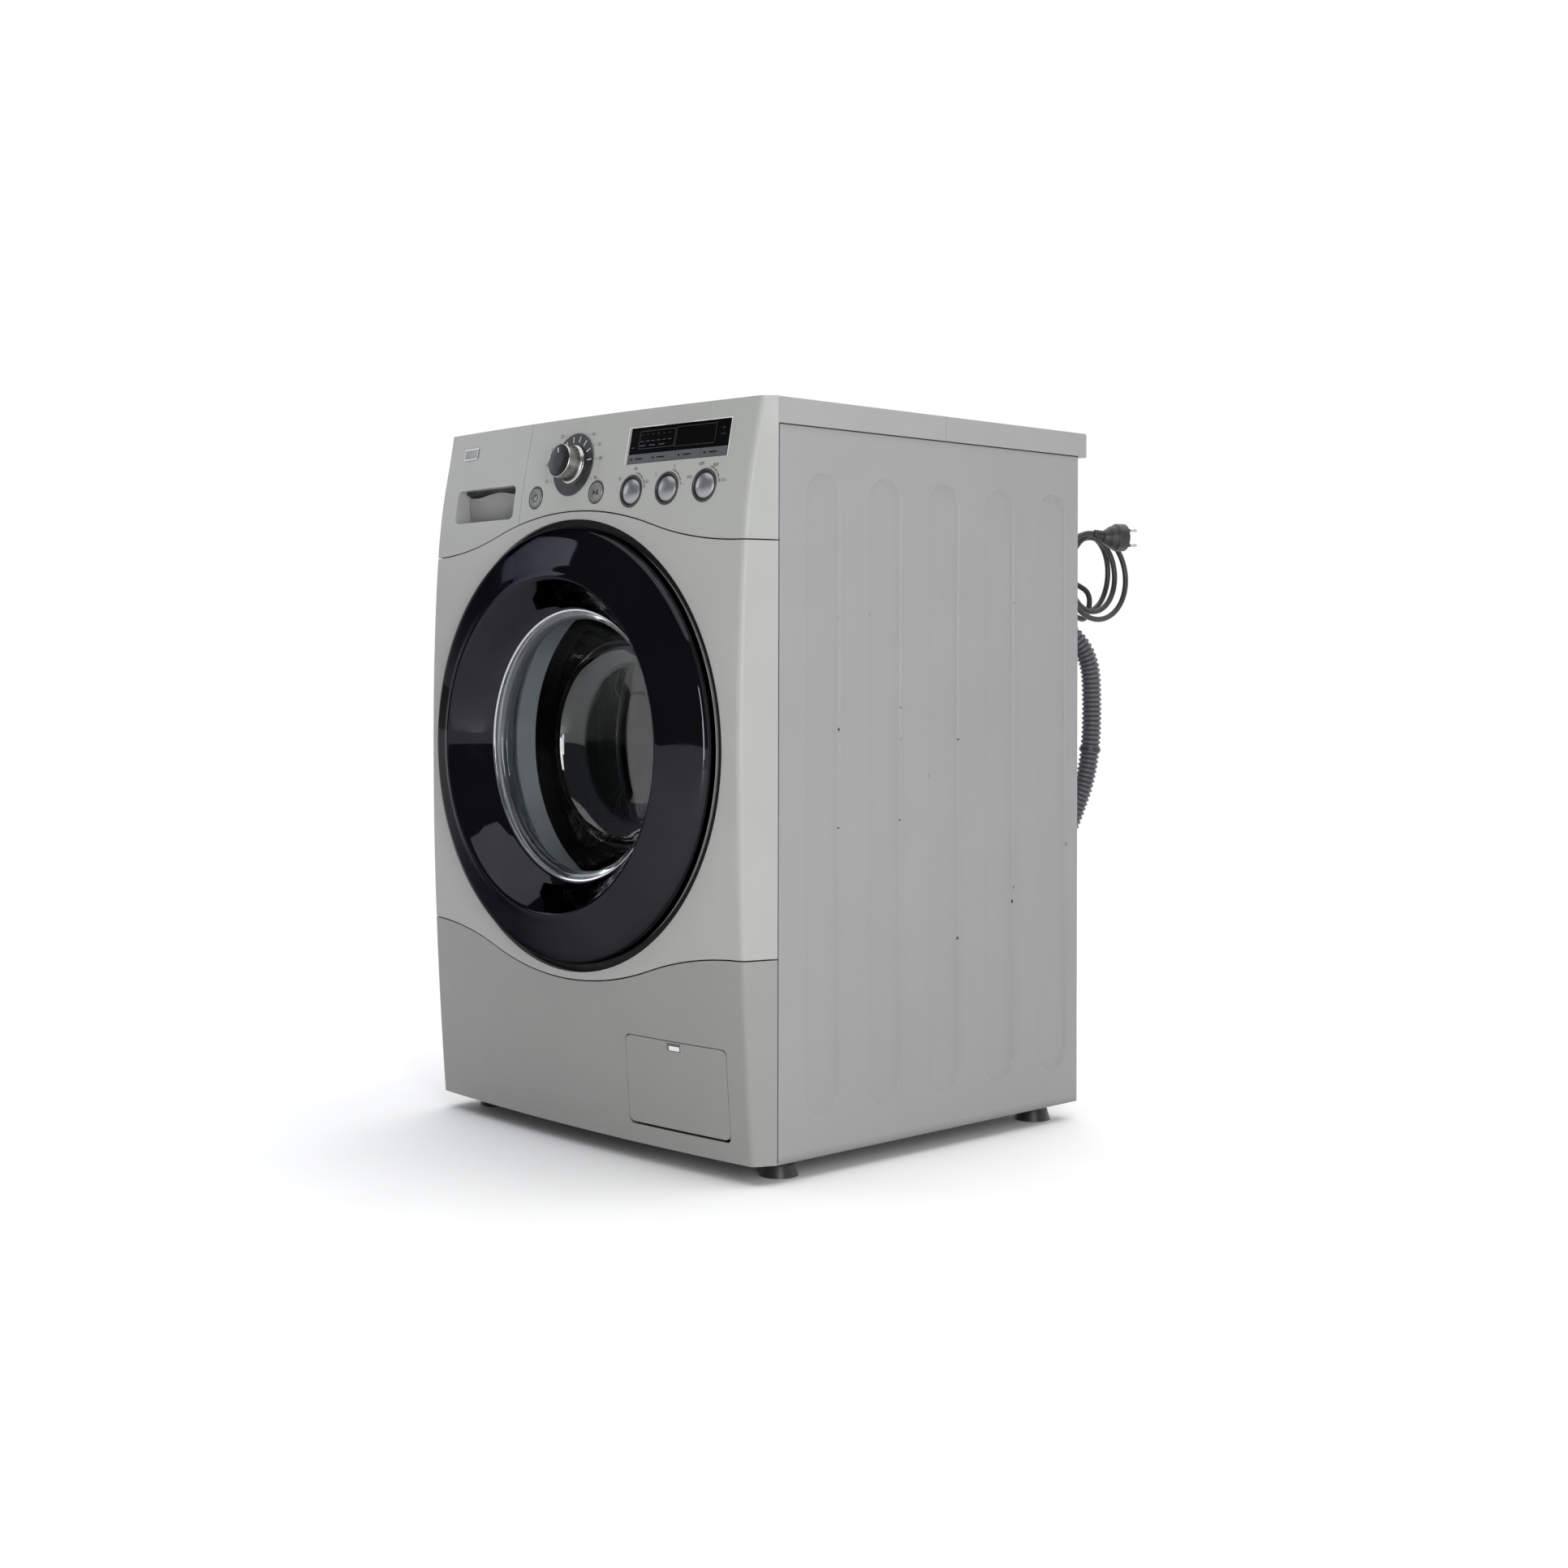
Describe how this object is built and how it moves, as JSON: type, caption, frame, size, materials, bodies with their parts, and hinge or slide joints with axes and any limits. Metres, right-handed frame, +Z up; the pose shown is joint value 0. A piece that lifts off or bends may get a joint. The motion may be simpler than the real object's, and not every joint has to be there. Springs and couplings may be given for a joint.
{
  "type": "front load washing machine",
  "caption": "Front load washing machine with bowed front, round glass door, dispenser drawer, rotary dial, sprung buttons, suspended tub and rear hose and mains lead.",
  "frame": {"origin": "on the floor, under the middle of the machine's bounding box without its hose and mains lead", "axes": "+Z up, +X towards the machine's right side seen from its front, -Y out of the door"},
  "size_m": [0.6, 0.761, 0.85],
  "materials": {
    "white_paint": "satin enamel",
    "white_plastic": "semi-gloss moulded",
    "worktop": "fine textured laminate",
    "galvanised": "galvanised sheet",
    "stainless": "brushed stainless",
    "dark_gloss": "high gloss dark",
    "chrome_trim": "bright",
    "silver_plastic": "metallic paint",
    "grey_plastic": "moulded",
    "dark_plastic": "moulded",
    "door_glass": "clear pressed glass",
    "display": "smoked window",
    "grey_rubber": "matt rubber",
    "black_rubber": "matt rubber",
    "tub_plastic": "glass filled moulding",
    "concrete": "cast concrete",
    "copper_coil": "enamelled wire",
    "circuit_board": "solder mask",
    "spring_steel": "oiled",
    "cast_alloy": "as cast",
    "hose_plastic": "corrugated",
    "brass_valve": "plated"
  },
  "bodies": {
    "cabinet": {"cabinet_wrap": "white_paint", "rear_cover": "galvanised", "cover_screws": "spring_steel", "transit_bolt_caps": "grey_plastic", "base_pan": "dark_plastic", "levelling_feet": "black_rubber", "top_board": "worktop", "top_frame": "white_plastic", "console_panel": "white_plastic", "display_window": "display", "control_board": "circuit_board", "front_panel": "white_paint", "kick_panel": "white_plastic", "door_lock": "dark_plastic", "hinge_bracket": "stainless", "door_gasket": "grey_rubber", "suspension_springs": "spring_steel", "damper_cylinders": "dark_plastic", "dispenser_housing": "tub_plastic", "inlet_valve": "white_plastic", "tub_hoses": "black_rubber", "drain_pump": "tub_plastic", "power_cord": "black_rubber", "power_cord_coil": "black_rubber", "power_plug": "black_rubber", "cord_gland": "black_rubber", "drain_hose": "hose_plastic", "hose_spout": "dark_plastic", "hose_fittings": "dark_plastic"},
    "tub_unit": {"tub_front": "tub_plastic", "tub_rear": "tub_plastic", "counterweights": "concrete", "bearing_set": "spring_steel", "stator": "copper_coil", "heater": "stainless", "damper_rods": "spring_steel"},
    "drum_unit": {"drum": "stainless", "drum_lifters": "tub_plastic", "drum_spider": "cast_alloy", "drum_shaft": "spring_steel", "rotor": "galvanised"},
    "door": {"door_outer_ring": "dark_gloss", "door_inner_frame": "grey_plastic", "door_glass": "door_glass", "door_hinge_arm": "cast_alloy"},
    "latch_hook": {"door_latch_hook": "stainless"},
    "drawer": {"dispenser_drawer": "tub_plastic", "drawer_front": "white_plastic"},
    "hatch": {"filter_hatch": "white_plastic"},
    "filter_plug": {"pump_filter": "dark_plastic"},
    "program_dial": {"program_knob": "silver_plastic"},
    "power_key": {"power_button": "silver_plastic"},
    "start_key": {"start_button": "silver_plastic"},
    "selector_left": {"selector_button_left": "silver_plastic"},
    "selector_middle": {"selector_button_middle": "silver_plastic"},
    "selector_right": {"selector_button_right": "silver_plastic"},
    "option_key_1": {"option_button_1": "silver_plastic"},
    "option_key_2": {"option_button_2": "silver_plastic"},
    "option_key_3": {"option_button_3": "silver_plastic"},
    "option_key_4": {"option_button_4": "silver_plastic"}
  },
  "joints": [
    {"name": "tub_bounce", "type": "slide", "parent": "cabinet", "child": "tub_unit", "axis": [0, 0, 1], "range_m": [-0.006, 0.004], "stiffness_N_per_m": 24000, "springref_m": 0.013, "deforming": ["suspension_springs", "door_gasket", "tub_hoses"]},
    {"name": "drum_spin", "type": "hinge", "parent": "tub_unit", "child": "drum_unit", "pos_m": [0, -0.022, 0.467], "axis": [0, 1, 0], "continuous": true},
    {"name": "door_swing", "type": "hinge", "parent": "cabinet", "child": "door", "pos_m": [-0.257, -0.272, 0.467], "axis": [0, 0, -1], "range_deg": [0, 120]},
    {"name": "latch_turn", "type": "hinge", "parent": "door", "child": "latch_hook", "pos_m": [0.222, -0.2715, 0.467], "axis": [0, 0, 1], "range_deg": [0, 6], "stiffness_Nm_per_rad": 0.5},
    {"name": "drawer_slide", "type": "slide", "parent": "cabinet", "child": "drawer", "axis": [0, -1, 0], "range_m": [0, 0.2]},
    {"name": "hatch_turn", "type": "hinge", "parent": "cabinet", "child": "hatch", "pos_m": [0.099, -0.25875, 0.0485], "axis": [0.9983, 0.058, 0], "range_deg": [0, 90]},
    {"name": "filter_turn", "type": "hinge", "parent": "cabinet", "child": "filter_plug", "pos_m": [0.182, -0.222, 0.092], "axis": [0, -1, 0], "range_deg": [0, 180]},
    {"name": "dial_turn", "type": "hinge", "parent": "cabinet", "child": "program_dial", "pos_m": [-0.009, -0.26096, 0.794], "axis": [0.0029, 0.9845, -0.1756], "continuous": true},
    {"name": "power_press", "type": "slide", "parent": "cabinet", "child": "power_key", "axis": [0.0239, 0.9894, -0.1433], "range_m": [0, 0.0015], "stiffness_N_per_m": 300, "springref_m": -0.001},
    {"name": "start_press", "type": "slide", "parent": "cabinet", "child": "start_key", "axis": [-0.0132, 0.9896, -0.1434], "range_m": [0, 0.0015], "stiffness_N_per_m": 300, "springref_m": -0.001},
    {"name": "selector_left_press", "type": "slide", "parent": "cabinet", "child": "selector_left", "axis": [-0.0332, 0.9895, -0.1409], "range_m": [0, 0.0015], "stiffness_N_per_m": 300, "springref_m": -0.001},
    {"name": "selector_middle_press", "type": "slide", "parent": "cabinet", "child": "selector_middle", "axis": [-0.0521, 0.9887, -0.1408], "range_m": [0, 0.0015], "stiffness_N_per_m": 300, "springref_m": -0.001},
    {"name": "selector_right_press", "type": "slide", "parent": "cabinet", "child": "selector_right", "axis": [-0.071, 0.9875, -0.1406], "range_m": [0, 0.0015], "stiffness_N_per_m": 300, "springref_m": -0.001},
    {"name": "option_1_press", "type": "slide", "parent": "cabinet", "child": "option_key_1", "axis": [-0.034, 0.984, -0.1749], "range_m": [0, 0.001], "stiffness_N_per_m": 300, "springref_m": -0.001},
    {"name": "option_2_press", "type": "slide", "parent": "cabinet", "child": "option_key_2", "axis": [-0.0464, 0.9835, -0.1748], "range_m": [0, 0.001], "stiffness_N_per_m": 300, "springref_m": -0.001},
    {"name": "option_3_press", "type": "slide", "parent": "cabinet", "child": "option_key_3", "axis": [-0.0598, 0.9828, -0.1747], "range_m": [0, 0.001], "stiffness_N_per_m": 300, "springref_m": -0.001},
    {"name": "option_4_press", "type": "slide", "parent": "cabinet", "child": "option_key_4", "axis": [-0.0729, 0.9819, -0.1745], "range_m": [0, 0.001], "stiffness_N_per_m": 300, "springref_m": -0.001}
  ]
}
